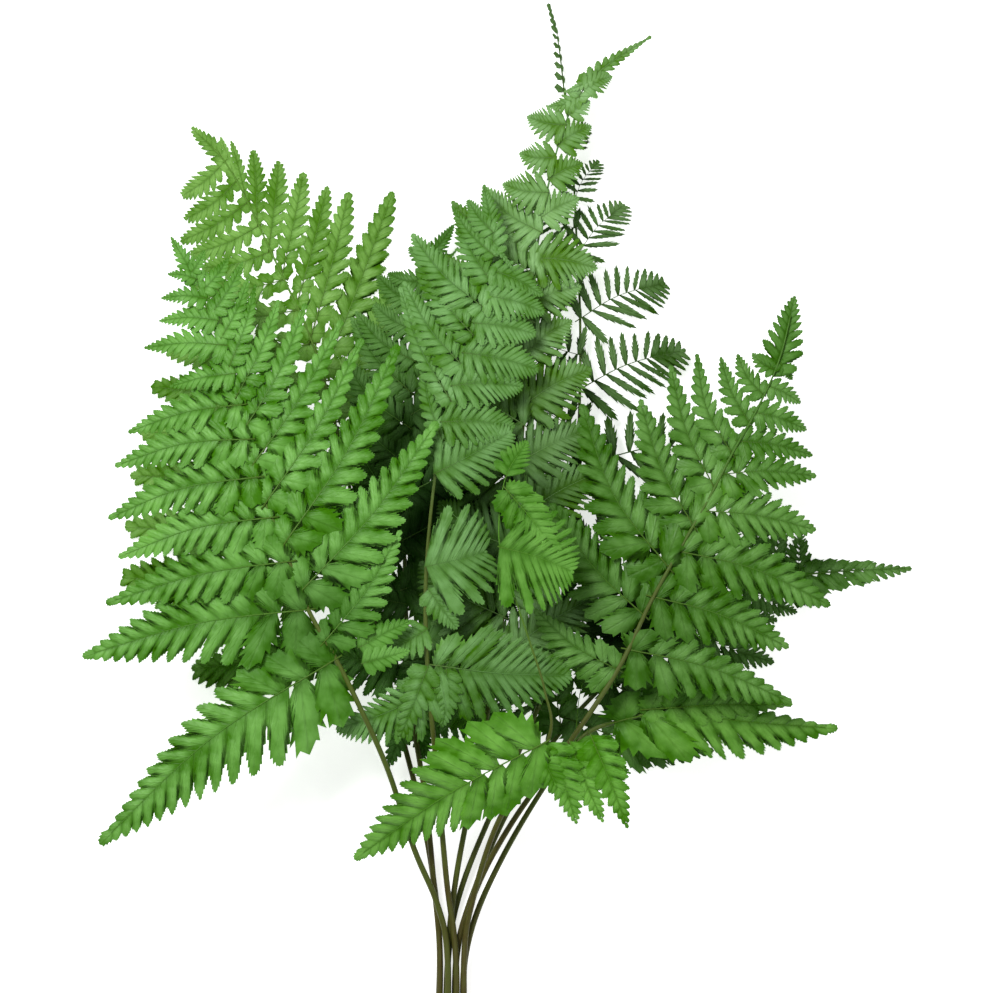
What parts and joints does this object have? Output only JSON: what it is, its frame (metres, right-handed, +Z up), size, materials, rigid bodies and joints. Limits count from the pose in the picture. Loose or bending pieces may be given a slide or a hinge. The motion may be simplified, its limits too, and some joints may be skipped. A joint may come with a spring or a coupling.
{
  "type": "bunch of leatherleaf fern fronds",
  "caption": "Gathered bunch of cut leatherleaf fern fronds, laid flat, with fanned blades of toothed leaflets and a plain band round the stalks.",
  "frame": {"origin": "centre of the box that holds the bunch, on the surface it lies on", "axes": "+Y from the cut ends of the stalks to the tips, +X to the right as seen from above, +Z up from the surface"},
  "size_m": [0.439, 0.5712, 0.0743],
  "materials": {
    "yellow_green_leaf": "fresh fern leaf, yellowish green, soft sheen",
    "dark_green_leaf": "fresh fern leaf in the shade of the others, dark green, soft sheen",
    "grey_green_leaf": "fresh fern leaf, greyish green, soft sheen",
    "mid_green_leaf": "fresh fern leaf, middle green, soft sheen",
    "light_green_leaf": "fresh fern leaf, light greyish green, soft sheen",
    "band": "plain brown rubber band"
  },
  "bodies": {
    "root": {"frond_left_back": "yellow_green_leaf", "frond_right_back": "dark_green_leaf", "frond_tall_back": "dark_green_leaf", "frond_middle_back": "grey_green_leaf", "frond_low_right": "dark_green_leaf", "frond_centre_top": "grey_green_leaf", "frond_right_front": "mid_green_leaf", "frond_centre_front": "grey_green_leaf", "frond_left_front": "light_green_leaf", "frond_low_front": "mid_green_leaf", "tie_band": "band"}
  },
  "joints": []
}
